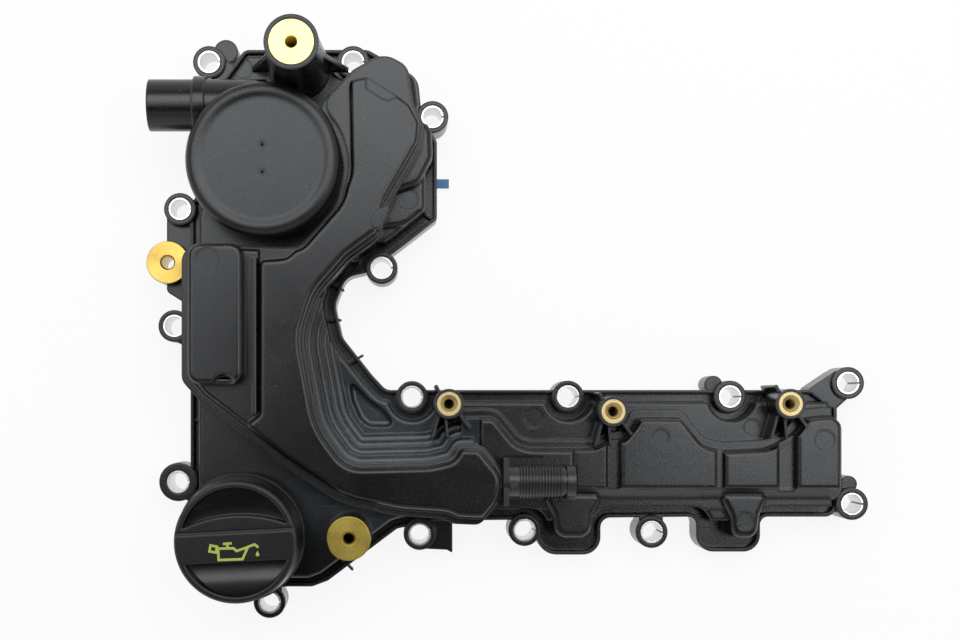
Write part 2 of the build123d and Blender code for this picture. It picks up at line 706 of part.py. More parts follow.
def impactor_plate():
    plate = strip_across_trough(impactor_x, impactor_thickness)
    middle = (trough_floor + trough_top) / 2
    hole = Rot(0, 90, 0) * Cylinder(nozzle_hole_radius, 4 * impactor_thickness)
    return plate - [Pos(impactor_x, nozzle_first_y + i * nozzle_pitch, middle) * hole
                    for i in range(nozzle_count)]


def fleece_pad():
    return strip_across_trough(impactor_x + impactor_thickness + fit_gap, fleece_thickness)


def drain_valve():
    under = trough_floor - wall
    profile = [
        (0, under - drain_tip), (drain_umbrella_radius, under - drain_disc_thickness),
        (drain_umbrella_radius, under), (drain_stem_radius, under), (drain_stem_radius, trough_floor),
        (drain_head_radius, trough_floor), (drain_stem_radius, trough_floor + drain_tip),
        (0, trough_floor + drain_tip),
    ]
    return turned(profile, drain_x, drain_y)


def pcv_cap():
    clamp = pot_rim + diaphragm_thickness
    inner = pot_radius + slip_gap
    dish = cap_top - cap_dish_depth
    profile = [
        (0, dish), (cap_dish_radius - cap_dish_slope, dish), (cap_dish_radius, cap_top),
        (cap_radius - cap_bevel, cap_top), (cap_radius - cap_edge, cap_top - cap_edge),
        (cap_radius, cap_top - cap_bevel), (cap_radius, cap_skirt_bottom), (inner, cap_skirt_bottom),
        (inner, clamp), (pot_bore, clamp), (pot_bore - cap_wall, dish - cap_wall), (0, dish - cap_wall),
    ]
    vents = [prism(disc(pot_x, pot_y + shift, vent_radius), pot_rim, cap_top)
             for shift in (-vent_spacing / 2, vent_spacing / 2)]
    return turned(profile, pot_x, pot_y) - vents


def pcv_diaphragm():
    low = valve_seat_top + plunger_lift + plunger_thickness + fit_gap
    crest = pot_rim + roll_height
    outer = pot_bore - roll_margin
    under = [
        (0, low), (plunger_radius, low), (outer - 2 * roll_width, crest), (outer - roll_width, crest),
        (outer, pot_rim), (pot_radius, pot_rim),
    ]
    inward = diaphragm_thickness / 2
    over = [(radius - (inward if 0 < radius < pot_radius else 0), z + diaphragm_thickness)
            for radius, z in under]
    return turned(under + over[::-1], pot_x, pot_y)


def pcv_plunger():
    low = valve_seat_top + plunger_lift
    return prism(disc(pot_x, pot_y, plunger_radius), low, low + plunger_thickness)


def pcv_spring():
    low = pot_floor + spring_wire / 2 + spring_gap
    high = valve_seat_top + plunger_lift - spring_wire / 2 - fit_gap
    path = Helix((high - low) / spring_turns, high - low, spring_radius, center=(0, 0, low))
    section = Plane(origin=path @ 0, z_dir=path % 0) * Circle(spring_wire / 2)
    return Pos(pot_x, pot_y) * sweep(section, path=path)


def filler_cap():
    floor = neck_top + fit_gap + seal_thickness
    skirt_top = filler_skirt_bottom + filler_skirt_height
    profile = [
        (0, filler_top), (filler_top_radius - filler_top_chamfer, filler_top),
        (filler_top_radius, filler_top - filler_top_chamfer),
        (filler_skirt_radius - filler_skirt_ledge, skirt_top), (filler_skirt_radius, skirt_top),
        (filler_skirt_radius, filler_skirt_bottom),
        (filler_skirt_radius - filler_wall, filler_skirt_bottom),
        (filler_top_radius - filler_wall, floor), (0, floor),
    ]
    rod = Cylinder(grip_groove_radius, 2 * filler_top_radius)
    groove = Pos(0, grip_groove_y, filler_top) * Rot(0, 90, 0) * rod
    front_scoop = Rot(0, 0, 180) * grip_scoop(grip_front)
    shell = turned(profile) - [grip_scoop(grip_back) - grip_bulge(), front_scoop, groove]
    return Pos(neck_x, neck_y) * Rot(0, 0, grip_angle) * shell


# Hollow beside the grip: steep at the grip, rising in a curve to the rim
def grip_scoop(wall_y):
    rim = filler_top_radius - grip_rim
    low = filler_top - grip_scoop_depth
    high = filler_top + overlap
    middle = ((wall_y + rim) / 2 + grip_ramp_shift, low + grip_ramp_rise)
    ramp = ThreePointArc((wall_y, low), middle, (rim, filler_top - overlap))
    edge = Polyline((rim, filler_top - overlap), (rim, high), (wall_y, high), (wall_y, low))
    section = make_face(Plane.YZ * Wire([ramp.edge(), *edge.edges()]))
    ramped = extrude(Pos(-rim, 0, 0) * section, amount=2 * rim, dir=(1, 0, 0))
    return ramped & prism(Circle(rim), low - overlap, high)


# The back of the grip bows out in the middle
def grip_bulge():
    reach = math.sqrt(filler_top_radius ** 2 - grip_back ** 2)
    radius = (reach ** 2 + grip_bow ** 2) / (2 * grip_bow)
    face = disc(0, grip_back + grip_bow - radius, radius)
    return prism(face, filler_top - grip_scoop_depth - overlap, filler_top + 2 * overlap)


def filler_cap_core():
    floor = neck_top + fit_gap + seal_thickness
    outer = ledge_bore - slip_gap
    bottom = neck_top - ledge_thickness - fit_gap - lug_thickness
    lug_root = outer - filler_wall / 2
    lugs = [sector(neck_bore - slip_gap, angle, lug_angle) - Circle(lug_root) for angle in (0, 180)]
    stem = prism(Circle(outer) - Circle(outer - filler_wall), bottom, floor)
    return Pos(neck_x, neck_y) * (stem + [prism(lug, bottom, bottom + lug_thickness) for lug in lugs])


def filler_cap_seal():
    low = neck_top + fit_gap
    inner = ledge_bore + slip_gap
    ring = Circle(inner + seal_width) - Circle(inner)
    return Pos(neck_x, neck_y) * prism(ring, low, low + seal_thickness)


def headed_insert(x, y, top, length, bore):
    head = prism(disc(x, y, big_insert_radius), top - big_insert_head, top)
    shank = prism(disc(x, y, big_insert_shank), top - length, top)
    return head + shank - prism(disc(x, y, bore), top - length - 1, top + 1)


def plain_insert(x, y, top, length, radius, bore):
    return prism(disc(x, y, radius) - disc(x, y, bore), top - length, top)


def post_insert():
    return plain_insert(post_x, post_y, post_top, big_insert_length, big_insert_radius, big_insert_bore)


def small_insert(x, y):
    return plain_insert(x, y, small_boss_top, small_insert_length, small_insert_radius, small_insert_bore)


def ribbed_tube():
    collar = tube_end - tube_collar_length
    groove = tube_radius - tube_groove_depth
    slope = (tube_ring_foot - tube_ring_top) / 2
    points = [(tube_bore, tube_start), (tube_radius, tube_start)]
    for i in range(tube_ring_count):
        start = tube_rings_start + i * tube_ring_pitch
        end = start + tube_ring_foot
        points += [(tube_radius, start), (tube_ring_radius, start + slope)]
        points += [(tube_ring_radius, end - slope), (tube_radius, end)]
    points += [(tube_radius, collar - tube_groove_width), (groove, collar - tube_groove_width)]
    points += [(groove, collar), (tube_ring_radius, collar)]
    points += [(tube_ring_radius, tube_end), (tube_bore, tube_end)]
    along = Pos(0, tube_y, tube_z) * Rot(0, 90, 0)
    flange = block((tube_start, tube_y - flange_reach, tube_z - tube_ring_radius),
                   (tube_start + flange_thickness, tube_y + flange_reach, tube_z + tube_ring_radius))
    bore = along * Pos(0, 0, tube_start) * Cylinder(tube_bore, 4 * flange_thickness)
    side = flange_notch_width / 2
    top = tube_z + tube_ring_radius
    notch = block((tube_start, flange_notch_y - side, top - flange_notch_depth),
                  (tube_start + flange_thickness, flange_notch_y + side, top))
    clip_root = tube_z + (tube_bore + tube_radius) / 2
    clip = prism(disc(clip_x, flange_notch_y, clip_radius), clip_root, clip_top)
    return along * turned(points) + [flange - [bore, notch], clip]


os.makedirs("parts", exist_ok=True)
pieces = {
    "main_housing": main_housing(),
    "separator_cover": separator_cover(),
    "impactor_plate": impactor_plate(),
    "fleece_pad": fleece_pad(),
    "drain_valve": drain_valve(),
    "pcv_cap": pcv_cap(),
    "pcv_diaphragm": pcv_diaphragm(),
    "pcv_plunger": pcv_plunger(),
    "pcv_spring": pcv_spring(),
    "filler_cap": filler_cap(),
    "filler_cap_core": filler_cap_core(),
    "filler_cap_seal": filler_cap_seal(),
    "gasket": gasket(),
    "ribbed_tube": ribbed_tube(),
    "post_insert": post_insert(),
    "pillar_insert": headed_insert(pillar_x, pillar_y, pillar_top, big_insert_length, big_insert_bore),
    "ear_bush": headed_insert(bush_x, bush_y, bush_top, bush_top, bush_bore),
}
for name, (x, y) in small_inserts.items():
    pieces[name] = small_insert(x, y)
for name, (x, y, _, _) in bolts.items():
    pieces[name] = bolt_sleeve(x, y)
for name, piece in pieces.items():
    export_step(piece, f"parts/{name}.step")
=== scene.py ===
import math

import bmesh
import bpy
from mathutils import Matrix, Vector


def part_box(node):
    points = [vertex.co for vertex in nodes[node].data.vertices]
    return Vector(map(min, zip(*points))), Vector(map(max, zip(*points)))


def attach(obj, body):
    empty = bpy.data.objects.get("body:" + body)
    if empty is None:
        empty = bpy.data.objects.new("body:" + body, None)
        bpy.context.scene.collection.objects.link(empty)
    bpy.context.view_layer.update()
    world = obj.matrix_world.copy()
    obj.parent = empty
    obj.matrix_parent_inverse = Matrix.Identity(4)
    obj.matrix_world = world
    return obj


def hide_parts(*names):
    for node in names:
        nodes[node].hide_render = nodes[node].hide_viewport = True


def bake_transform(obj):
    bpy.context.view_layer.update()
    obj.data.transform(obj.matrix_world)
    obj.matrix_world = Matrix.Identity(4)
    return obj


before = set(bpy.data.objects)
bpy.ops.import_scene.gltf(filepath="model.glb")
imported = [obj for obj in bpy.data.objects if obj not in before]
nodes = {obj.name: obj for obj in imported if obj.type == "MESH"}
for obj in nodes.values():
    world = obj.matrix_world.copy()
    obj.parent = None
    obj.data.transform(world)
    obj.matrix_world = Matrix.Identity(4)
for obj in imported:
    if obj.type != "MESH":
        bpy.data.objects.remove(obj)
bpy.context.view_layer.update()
mm = 0.001
print("stage: frame loaded,", len(nodes), "nodes")


# Shader node helpers

def addNode(tree, kind, **values):
    node = tree.nodes.new(kind)
    for key, value in values.items():
        if key in node.inputs:
            node.inputs[key].default_value = value
        else:
            setattr(node, key, value)
    return node


def mathNode(tree, operation, first, second=None):
    node = tree.nodes.new("ShaderNodeMath")
    node.operation = operation
    for slot, value in enumerate((first, second)):
        if value is None:
            continue
        if isinstance(value, (int, float)):
            node.inputs[slot].default_value = value
        else:
            tree.links.new(value, node.inputs[slot])
    return node.outputs[0]


mixSockets = {"factor": 0, "first": 6, "second": 7, "result": 2}  # places of the colour sockets on a Mix node


def mixColour(tree, factor, first, second):
    node = tree.nodes.new("ShaderNodeMix")
    node.data_type = "RGBA"
    tree.links.new(factor, node.inputs[mixSockets["factor"]])
    for slot, value in ((mixSockets["first"], first), (mixSockets["second"], second)):
        if isinstance(value, tuple):
            node.inputs[slot].default_value = (*value, 1.0)
        else:
            tree.links.new(value, node.inputs[slot])
    return node.outputs[mixSockets["result"]]


def newGroup(name, inputs, outputs):
    tree = bpy.data.node_groups.new(name, "ShaderNodeTree")
    for socketName, kind, value in inputs:
        socket = tree.interface.new_socket(socketName, in_out="INPUT", socket_type=kind)
        socket.default_value = value
    for socketName, kind in outputs:
        tree.interface.new_socket(socketName, in_out="OUTPUT", socket_type=kind)
    start = tree.nodes.new("NodeGroupInput")
    end = tree.nodes.new("NodeGroupOutput")
    return tree, start.outputs, end.inputs


def useGroup(tree, group, values):
    node = tree.nodes.new("ShaderNodeGroup")
    node.node_tree = group
    for key, value in values.items():
        node.inputs[key].default_value = value
    return node


# Shared effects

mouldNoise = {
    "middle": 0.5,
    "grain": {"Detail": 2.0, "Roughness": 0.6},
    "flow": {"Detail": 5.0, "Roughness": 0.62, "Distortion": 1.2},
}


def buildMouldGrain():  # fine spark-eroded grain, and slow shifts of gloss where the plastic flowed
    tree, start, end = newGroup(
        "mouldGrain",
        [("Grain Size", "NodeSocketFloat", 900.0), ("Grain Amount", "NodeSocketFloat", 0.0),
         ("Flow Size", "NodeSocketFloat", 18.0), ("Flow Amount", "NodeSocketFloat", 0.3)],
        [("Height", "NodeSocketFloat"), ("Mottle", "NodeSocketFloat"), ("Gloss Shift", "NodeSocketFloat")])
    place = tree.nodes.new("ShaderNodeTexCoord").outputs["Object"]
    grain = addNode(tree, "ShaderNodeTexNoise", **mouldNoise["grain"])
    flow = addNode(tree, "ShaderNodeTexNoise", **mouldNoise["flow"])
    for node, size in ((grain, "Grain Size"), (flow, "Flow Size")):
        tree.links.new(place, node.inputs["Vector"])
        tree.links.new(start[size], node.inputs["Scale"])
    tree.links.new(grain.outputs["Fac"], end["Height"])
    flowShift = mathNode(tree, "SUBTRACT", flow.outputs["Fac"], mouldNoise["middle"])
    grainShift = mathNode(tree, "SUBTRACT", grain.outputs["Fac"], mouldNoise["middle"])
    slow = mathNode(tree, "MULTIPLY", flowShift, start["Flow Amount"])
    fine = mathNode(tree, "MULTIPLY", grainShift, start["Grain Amount"])
    tree.links.new(mathNode(tree, "ADD", slow, fine), end["Gloss Shift"])
    tree.links.new(flow.outputs["Fac"], end["Mottle"])
    return tree


wear = {
    "cellScale": 260.0, "streakTurn": (0.0, 0.0, 0.7), "streakStretch": (60.0, 900.0, 300.0),
    "streakNoise": {"Scale": 1.0, "Detail": 3.0, "Roughness": 0.55}, "streakContrast": 8.0,
}


def buildHandling():  # sparse dust specks and faint rubbed streaks
    tree, start, end = newGroup(
        "handling",
        [("Speck Size", "NodeSocketFloat", 0.07), ("Speck Share", "NodeSocketFloat", 0.12),
         ("Streak Level", "NodeSocketFloat", 0.64)],
        [("Speck", "NodeSocketFloat"), ("Streak", "NodeSocketFloat")])
    place = tree.nodes.new("ShaderNodeTexCoord").outputs["Object"]
    cells = addNode(tree, "ShaderNodeTexVoronoi", Scale=wear["cellScale"])
    tree.links.new(place, cells.inputs["Vector"])
    near = mathNode(tree, "LESS_THAN", cells.outputs["Distance"], start["Speck Size"])
    split = tree.nodes.new("ShaderNodeSeparateColor")
    tree.links.new(cells.outputs["Color"], split.inputs[0])
    chosen = mathNode(tree, "LESS_THAN", split.outputs[0], start["Speck Share"])
    tree.links.new(mathNode(tree, "MULTIPLY", near, chosen), end["Speck"])
    stretched = tree.nodes.new("ShaderNodeMapping")
    stretched.inputs["Rotation"].default_value = wear["streakTurn"]
    stretched.inputs["Scale"].default_value = wear["streakStretch"]
    tree.links.new(place, stretched.inputs["Vector"])
    rubbed = addNode(tree, "ShaderNodeTexNoise", **wear["streakNoise"])
    tree.links.new(stretched.outputs[0], rubbed.inputs["Vector"])
    over = mathNode(tree, "SUBTRACT", rubbed.outputs["Fac"], start["Streak Level"])
    raised = mathNode(tree, "MAXIMUM", mathNode(tree, "MULTIPLY", over, wear["streakContrast"]), 0.0)
    tree.links.new(mathNode(tree, "MINIMUM", raised, 1.0), end["Streak"])
    return tree


edgeTest = {"bevelSamples": 6, "openSamples": 4, "openFrom": 0.7, "openContrast": 4.0}


def buildSoftEdge():  # rounded shading on sharp edges, and a mask of the outer ones where a painted highlight goes
    tree, start, end = newGroup(
        "softEdge",
        [("Round", "NodeSocketFloat", 0.0006), ("Start", "NodeSocketFloat", 0.13),
         ("Contrast", "NodeSocketFloat", 7.0)],
        [("Normal", "NodeSocketVector"), ("Highlight Edge", "NodeSocketFloat")])
    rounded = addNode(tree, "ShaderNodeBevel", samples=edgeTest["bevelSamples"])
    tree.links.new(start["Round"], rounded.inputs["Radius"])
    flat = tree.nodes.new("ShaderNodeNewGeometry")
    dot = addNode(tree, "ShaderNodeVectorMath", operation="DOT_PRODUCT")
    tree.links.new(rounded.outputs[0], dot.inputs[0])
    tree.links.new(flat.outputs["Normal"], dot.inputs[1])
    away = mathNode(tree, "SUBTRACT", 1.0, dot.outputs["Value"])
    near = mathNode(tree, "MAXIMUM", mathNode(tree, "SUBTRACT", away, start["Start"]), 0.0)
    strong = mathNode(tree, "MULTIPLY", near, start["Contrast"])
    nearby = addNode(tree, "ShaderNodeAmbientOcclusion", samples=edgeTest["openSamples"], only_local=True)
    tree.links.new(start["Round"], nearby.inputs["Distance"])
    openShare = mathNode(tree, "SUBTRACT", nearby.outputs["AO"], edgeTest["openFrom"])
    clear = mathNode(tree, "MULTIPLY", openShare, edgeTest["openContrast"])
    outer = mathNode(tree, "MAXIMUM", mathNode(tree, "MINIMUM", clear, 1.0), 0.0)
    edge = mathNode(tree, "MULTIPLY", mathNode(tree, "MINIMUM", strong, 1.0), outer)
    tree.links.new(edge, end["Highlight Edge"])
    tree.links.new(rounded.outputs[0], end["Normal"])
    return tree


patchLook = {"noise": {"Detail": 5.0, "Roughness": 0.6, "Distortion": 2.0}, "contrast": 2.5}


def buildFlowPatch():  # lighter streaks, fading out from a centre
    tree, start, end = newGroup(
        "lighterStreakPatch",
        [("Centre", "NodeSocketVector", (0.0, 0.0, 0.0)), ("Reach", "NodeSocketFloat", 0.03),
         ("Streak Size", "NodeSocketFloat", 130.0)],
        [("Patch", "NodeSocketFloat")])
    place = tree.nodes.new("ShaderNodeTexCoord").outputs["Object"]
    apart = addNode(tree, "ShaderNodeVectorMath", operation="DISTANCE")
    tree.links.new(place, apart.inputs[0])
    tree.links.new(start["Centre"], apart.inputs[1])
    share = mathNode(tree, "DIVIDE", apart.outputs["Value"], start["Reach"])
    fade = mathNode(tree, "MAXIMUM", mathNode(tree, "SUBTRACT", 1.0, share), 0.0)
    streak = addNode(tree, "ShaderNodeTexNoise", **patchLook["noise"])
    tree.links.new(place, streak.inputs["Vector"])
    tree.links.new(start["Streak Size"], streak.inputs["Scale"])
    shaped = mathNode(tree, "MULTIPLY", fade, streak.outputs["Fac"])
    strong = mathNode(tree, "MULTIPLY", shaped, patchLook["contrast"])
    tree.links.new(mathNode(tree, "MINIMUM", strong, 1.0), end["Patch"])
    return tree


ringLook = {"shadeRate": 0.11, "shadeDetail": 3.0}


def buildTurnedFace():  # rings that a lathe tool leaves round a centre
    tree, start, end = newGroup(
        "turnedFace",
        [("Centre", "NodeSocketVector", (0.0, 0.0, 0.0)), ("Pitch", "NodeSocketFloat", 9000.0)],
        [("Height", "NodeSocketFloat"), ("Ring Shade", "NodeSocketFloat")])
    place = tree.nodes.new("ShaderNodeTexCoord").outputs["Object"]
    local = addNode(tree, "ShaderNodeVectorMath", operation="SUBTRACT")
    tree.links.new(place, local.inputs[0])
    tree.links.new(start["Centre"], local.inputs[1])
    flat = addNode(tree, "ShaderNodeVectorMath", operation="MULTIPLY")
    flat.inputs[1].default_value = (1.0, 1.0, 0.0)  # rings are counted in plan
    tree.links.new(local.outputs[0], flat.inputs[0])
    length = addNode(tree, "ShaderNodeVectorMath", operation="LENGTH")
    tree.links.new(flat.outputs[0], length.inputs[0])
    phase = mathNode(tree, "MULTIPLY", length.outputs["Value"], start["Pitch"])
    jitter = addNode(tree, "ShaderNodeTexNoise", noise_dimensions="1D", Detail=ringLook["shadeDetail"])
    tree.links.new(mathNode(tree, "MULTIPLY", phase, ringLook["shadeRate"]), jitter.inputs["W"])
    tree.links.new(mathNode(tree, "SINE", phase), end["Height"])
    tree.links.new(jitter.outputs["Fac"], end["Ring Shade"])
    return tree


mouldGrain = buildMouldGrain()
handling = buildHandling()
softEdge = buildSoftEdge()
lighterStreakPatch = buildFlowPatch()
turnedFace = buildTurnedFace()
print("stage: shared effects built")


# Materials

def startMaterial(name):
    material = bpy.data.materials.new(name)
    material.use_nodes = True
    tree = material.node_tree
    return material, tree, tree.nodes["Principled BSDF"]


plainPlastic = {
    "grainSize": 1500.0, "grainAmount": 0.2, "grainDepth": 0.00005, "grainStrength": 0.7, "flowSize": 18.0,
    "flowAmount": 0.2, "mottle": 0.75, "round": 0.0005, "speckShare": 0.1, "speck": (0.12, 0.12, 0.12),
    "streak": 0.08,
}
plainMetal = {
    "round": 0.0003, "marks": 0.35, "markDepth": 0.00003, "pitch": 7000.0, "ringGloss": 0.2,
    "grain": {"Grain Size": 500.0, "Flow Size": 60.0, "Flow Amount": 0.3},
}


def plasticMaterial(name, changes):
    look = {**plainPlastic, **changes}
    material, tree, shader = startMaterial(name)
    grain = useGroup(tree, mouldGrain, {"Grain Size": look["grainSize"], "Grain Amount": look["grainAmount"],
                                        "Flow Size": look["flowSize"], "Flow Amount": look["flowAmount"]})
    worn = useGroup(tree, handling, {"Speck Share": look["speckShare"]})
    edge = useGroup(tree, softEdge, {"Round": look["round"]})
    dark = tuple(channel * look["mottle"] for channel in look["colour"])
    mottled = mixColour(tree, grain.outputs["Mottle"], dark, look["colour"])
    # painted highlight: the outer edges take the lighter edge colour
    edgeHighlighted = mixColour(tree, edge.outputs["Highlight Edge"], mottled, look["edge"])
    if "patch" in look:
        patch = useGroup(tree, lighterStreakPatch, look["patch"])
        edgeHighlighted = mixColour(tree, patch.outputs["Patch"], edgeHighlighted, look["patchColour"])
    specked = mixColour(tree, worn.outputs["Speck"], edgeHighlighted, look["speck"])
    tree.links.new(specked, shader.inputs["Base Color"])
    rough = mathNode(tree, "ADD", grain.outputs["Gloss Shift"], look["roughness"])
    rubbed = mathNode(tree, "MULTIPLY", worn.outputs["Streak"], look["streak"])
    tree.links.new(mathNode(tree, "ADD", rough, rubbed), shader.inputs["Roughness"])
    bump = addNode(tree, "ShaderNodeBump", Strength=look["grainStrength"], Distance=look["grainDepth"])
    tree.links.new(grain.outputs["Height"], bump.inputs["Height"])
    tree.links.new(edge.outputs["Normal"], bump.inputs["Normal"])
    tree.links.new(bump.outputs[0], shader.inputs["Normal"])
    return material


def metalMaterial(name, changes, centre=None):
    look = {**plainMetal, **changes}
    material, tree, shader = startMaterial(name)
    edge = useGroup(tree, softEdge, {"Round": look["round"]})
    shader.inputs["Metallic"].default_value = 1.0
    bump = addNode(tree, "ShaderNodeBump", Strength=look["marks"], Distance=look["markDepth"])
    if centre is None:
        grain = useGroup(tree, mouldGrain, look["grain"])
        shade = grain.outputs["Mottle"]
        height = grain.outputs["Height"]
        rough = grain.outputs["Gloss Shift"]
    else:
        turned = useGroup(tree, turnedFace, {"Centre": centre, "Pitch": look["pitch"]})
        shade = turned.outputs["Ring Shade"]
        height = turned.outputs["Height"]
        rough = mathNode(tree, "MULTIPLY", shade, look["ringGloss"])
    tree.links.new(mixColour(tree, shade, look["dark"], look["colour"]), shader.inputs["Base Color"])
    tree.links.new(mathNode(tree, "ADD", rough, look["roughness"]), shader.inputs["Roughness"])
    tree.links.new(height, bump.inputs["Height"])
    tree.links.new(edge.outputs["Normal"], bump.inputs["Normal"])
    tree.links.new(bump.outputs[0], shader.inputs["Normal"])
    return material


# each edge colour is a painted highlight, laid on the outer edges through the softEdge mask
plastics = {
    "housingPlastic": {"colour": (0.0042, 0.0043, 0.0047), "edge": (0.1, 0.104, 0.11), "roughness": 0.25,
                       "round": 0.0015,
                       "patch": {"Centre": (-0.016, -0.032, 0.03), "Reach": 0.055},
                       "patchColour": (0.045, 0.05, 0.054)},
    "lidPlastic": {"colour": (0.004, 0.0041, 0.0045), "edge": (0.13, 0.134, 0.14), "roughness": 0.24,
                   "round": 0.0016},
    "capPlastic": {"colour": (0.0055, 0.0056, 0.006), "edge": (0.035, 0.036, 0.039), "roughness": 0.31,
                   "flowAmount": 0.1, "speckShare": 0.05, "round": 0.0014},
    "regulatorCapPlastic": {"colour": (0.0055, 0.0056, 0.006), "edge": (0.016, 0.0165, 0.018),
                            "roughness": 0.3, "flowAmount": 0.1, "speckShare": 0.05, "round": 0.0032,
                            "grainDepth": 0.00003},
    "tubePlastic": {"colour": (0.02, 0.0205, 0.0215), "edge": (0.06, 0.06, 0.062), "roughness": 0.34,
                    "round": 0.0002},
    "innerPlastic": {"colour": (0.02, 0.02, 0.02), "edge": (0.04, 0.04, 0.04), "roughness": 0.5},
    "blackRubber": {"colour": (0.012, 0.012, 0.012), "edge": (0.025, 0.025, 0.025), "roughness": 0.65},
    "blueRubber": {"colour": (0.07, 0.21, 0.46), "edge": (0.12, 0.28, 0.55), "roughness": 0.5,
                   "flowSize": 60.0},
    "fleeceFibre": {"colour": (0.7, 0.69, 0.64), "edge": (0.8, 0.79, 0.75), "roughness": 0.9,
                    "grainSize": 300.0, "grainDepth": 0.0003, "speck": (0.5, 0.48, 0.42)},
    "symbolPaint": {"colour": (0.4, 0.45, 0.07), "edge": (0.45, 0.5, 0.1), "roughness": 0.55,
                    "round": 0.00001, "mottle": 0.9, "speck": (0.3, 0.33, 0.07)},
}
metals = {
    "sleeveSteel": {"colour": (0.86, 0.86, 0.87), "dark": (0.62, 0.62, 0.63), "roughness": 0.3},
    "springSteel": {"colour": (0.6, 0.6, 0.6), "dark": (0.4, 0.4, 0.4), "roughness": 0.35},
}
made = {name: plasticMaterial(name, look) for name, look in plastics.items()}
made.update({name: metalMaterial(name, look) for name, look in metals.items()})
print("stage: materials built")


# Finish of each CAD node

nodeFinish = {
    "main_housing": "housingPlastic", "separator_cover": "lidPlastic", "impactor_plate": "innerPlastic",
    "fleece_pad": "fleeceFibre", "drain_valve": "blackRubber", "pcv_cap": "regulatorCapPlastic",
    "pcv_diaphragm": "blackRubber", "pcv_plunger": "innerPlastic", "pcv_spring": "springSteel",
    "filler_cap": "capPlastic", "filler_cap_core": "innerPlastic", "filler_cap_seal": "blackRubber",
    "gasket": "blueRubber", "ribbed_tube": "tubePlastic",
}


def setMaterial(piece, material):
    piece.data.materials.clear()
    piece.data.materials.append(material)


def finishNodes():
    for name, node in nodes.items():
        setMaterial(node, made[nodeFinish.get(name, "sleeveSteel")])


finishNodes()
print("stage: CAD nodes finished")


# Turned brass inserts with chamfers, countersinks and threads, in place of the plain CAD ones

# one brass in four looks, each painted lighter or darker for how the light falls on its insert: the post
# insert's look is a painted highlight, the pillar insert's look a painted shade
insertLook = {
    "segments": 128, "chamfer": 0.3, "threadPitch": 1.0, "threadDepth": 0.3, "sharpFrom": 35.0,
    "bright": {"colour": (0.7, 0.49, 0.14), "dark": (0.57, 0.36, 0.07), "roughness": 0.2, "marks": 0.5,
               "pitch": 14000.0},
    "tan": {"colour": (0.62, 0.5, 0.27), "dark": (0.5, 0.38, 0.18), "roughness": 0.3},
    "litBrass": {"colour": (0.86, 0.7, 0.27), "dark": (0.82, 0.65, 0.22), "roughness": 0.22},
    "shadedBrass": {"colour": (0.55, 0.41, 0.1), "dark": (0.27, 0.2, 0.035), "roughness": 0.18, "marks": 0.5,
             "pitch": 14000.0},
}
brassInserts = {  # radii of bore, mouth and shank, depth of the countersink and height of the head, in mm
    "post_insert": {"bore": 2.5, "mouth": 3.0, "sink": 0.6, "look": "litBrass"},
    "pillar_insert": {"bore": 2.5, "mouth": 3.4, "sink": 0.9, "shank": 7.5, "head": 3.0, "look": "shadedBrass"},
    "ear_bush": {"bore": 3.15, "mouth": 3.8, "sink": 0.8, "shank": 7.5, "head": 3.0, "smooth": True,
                 "look": "bright"},
    "small_insert_1": {"bore": 2.35, "mouth": 4.2, "sink": 1.8, "look": "tan"},
    "small_insert_2": {"bore": 2.35, "mouth": 4.2, "sink": 1.8, "look": "tan"},
    "small_insert_3": {"bore": 2.35, "mouth": 4.2, "sink": 1.8, "look": "tan"},
}


def turnedMesh(name, profile, centre, segments):
    mesh = bmesh.new()
    rings = []
    for step in range(segments):
        angle = 2 * math.pi * step / segments
        across = Vector((math.cos(angle), math.sin(angle), 0.0))
        rings.append([mesh.verts.new(centre + across * radius + Vector((0, 0, z))) for radius, z in profile])
    for step in range(segments):
        here, ahead = rings[step], rings[(step + 1) % segments]
        for i in range(len(profile)):
            j = (i + 1) % len(profile)
            mesh.faces.new((here[i], ahead[i], ahead[j], here[j]))
    bmesh.ops.recalc_face_normals(mesh, faces=mesh.faces)
    data = bpy.data.meshes.new(name)
    mesh.to_mesh(data)
    mesh.free()
    piece = bpy.data.objects.new(name, data)
    bpy.context.scene.collection.objects.link(piece)
    return piece


def shadeByAngle(piece):
    for face in piece.data.polygons:
        face.use_smooth = True
    piece.data.set_sharp_from_angle(angle=math.radians(insertLook["sharpFrom"]))


def insertProfile(cut, outer, bottom, top):
    chamfer = insertLook["chamfer"] * mm
    bore, mouth, sink = cut["bore"] * mm, cut["mouth"] * mm, cut["sink"] * mm
    if "shank" in cut:
        shank, under = cut["shank"] * mm, top - cut["head"] * mm
        profile = [(shank - chamfer, bottom), (shank, bottom + chamfer), (shank, under), (outer, under)]
    else:
        profile = [(outer - chamfer, bottom), (outer, bottom + chamfer)]
    profile += [(outer, top - chamfer), (outer - chamfer, top), (mouth, top), (bore, top - sink)]
    if not cut.get("smooth"):
        pitch, depth = insertLook["threadPitch"] * mm, insertLook["threadDepth"] * mm
        turns = int((top - sink - bottom) / pitch) - 1
        for turn in range(turns):
            z = top - sink - turn * pitch
            profile += [(bore + depth, z - 0.5 * pitch), (bore, z - pitch)]
    profile.append((bore, bottom))
    return profile


def buildInserts():
    for name, cut in brassInserts.items():
        low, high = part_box(name)
        centre = Vector(((low.x + high.x) / 2, (low.y + high.y) / 2, 0.0))
        outer = (high.x - low.x) / 2
        profile = insertProfile(cut, outer, low.z, high.z)
        piece = turnedMesh("turned_" + name, profile, centre, insertLook["segments"])
        shadeByAngle(piece)
        setMaterial(piece, metalMaterial("brass_" + name, insertLook[cut["look"]], tuple(centre)))
        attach(piece, "cover")
        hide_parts(name)


buildInserts()
print("stage: brass inserts turned")


# Regulator spring and diaphragm, copied as plain pieces in place of the CAD ones

